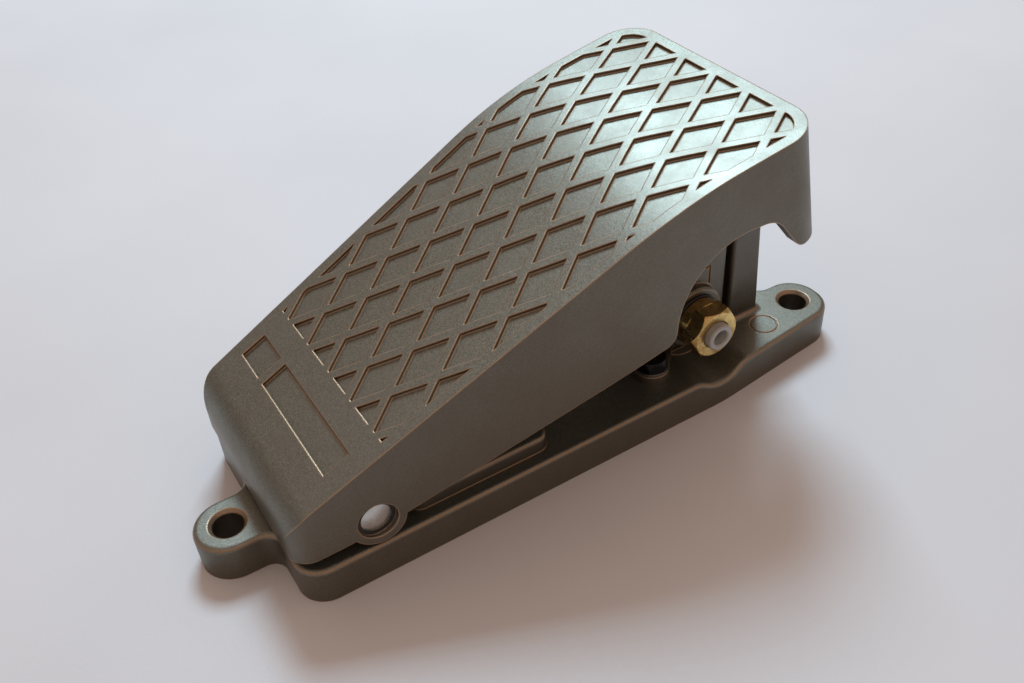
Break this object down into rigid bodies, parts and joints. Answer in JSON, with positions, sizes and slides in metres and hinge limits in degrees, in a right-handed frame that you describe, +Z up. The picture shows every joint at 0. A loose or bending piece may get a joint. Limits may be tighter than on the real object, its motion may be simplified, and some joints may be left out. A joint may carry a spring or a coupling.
{
  "type": "pneumatic foot-pedal valve",
  "caption": "Industrial foot-pedal air valve: die-cast aluminium treadle with diamond grip pockets, hinged on a flanged base over a small spool valve with brass push-in tube fittings.",
  "frame": {"origin": "centre of the footprint, on the surface that the base stands on", "axes": "+Z up, +Y from the heel to the toe of the treadle, +X to the side of the supply port"},
  "size_m": [0.0684, 0.1644, 0.0719],
  "materials": {
    "painted_casting": "satin metallic, fine grain",
    "bright_steel": "polished",
    "spring_steel": "drawn wire, satin",
    "black_steel": "black oxide, oiled",
    "brass": "turned, bright",
    "plated_brass": "nickel plated, satin",
    "sintered_bronze": "porous, matt",
    "black_rubber": "matt",
    "dark_plastic": "matt acetal",
    "grey_plastic": "satin acetal"
  },
  "bodies": {
    "root": {"base_casting": "painted_casting", "stop_bumper": "black_rubber", "rest_pad": "black_rubber", "pivot_pin": "bright_steel", "pin_clips": "spring_steel", "return_spring": "spring_steel", "valve_body": "painted_casting", "bottom_plug": "plated_brass", "plug_seal": "black_rubber", "plunger_guide": "plated_brass", "plunger_wiper": "black_rubber", "valve_spring": "spring_steel", "exhaust_filter": "sintered_bronze", "body_screws": "black_steel", "body_washers": "spring_steel", "rear_screws": "black_steel", "supply_fitting_body": "brass", "supply_fitting_seal": "dark_plastic", "supply_tube_seal": "black_rubber", "supply_grip_ring": "spring_steel", "outlet_fitting_body": "brass", "outlet_fitting_seal": "dark_plastic", "outlet_tube_seal": "black_rubber", "outlet_grip_ring": "spring_steel"},
    "treadle": {"treadle_casting": "painted_casting", "pressure_pad": "bright_steel", "hinge_bush_right": "dark_plastic", "hinge_bush_left": "dark_plastic"},
    "plunger": {"plunger": "bright_steel", "spool": "plated_brass", "spool_seals": "black_rubber"},
    "supply_button": {"supply_release_button": "grey_plastic"},
    "outlet_button": {"outlet_release_button": "grey_plastic"}
  },
  "joints": [
    {"name": "treadle_press", "type": "hinge", "parent": "root", "child": "treadle", "pos_m": [0, -0.0493, 0.0164], "axis": [-1, 0, 0], "range_deg": [0, 4], "stiffness_Nm_per_rad": 4, "springref_deg": -28.65},
    {"name": "plunger_slide", "type": "slide", "parent": "root", "child": "plunger", "axis": [0, 0, -1], "range_m": [0, 0.0065], "deforming": ["valve_spring"]},
    {"name": "supply_button_press", "type": "slide", "parent": "root", "child": "supply_button", "axis": [-1, 0, 0], "range_m": [0, 0.0008], "stiffness_N_per_m": 400, "springref_m": -0.001},
    {"name": "outlet_button_press", "type": "slide", "parent": "root", "child": "outlet_button", "axis": [1, 0, 0], "range_m": [0, 0.0008], "stiffness_N_per_m": 400, "springref_m": -0.001}
  ],
  "couplings": [
    {"joint": "plunger_slide", "follows": "treadle_press", "m_per_rad": 0.0913}
  ]
}
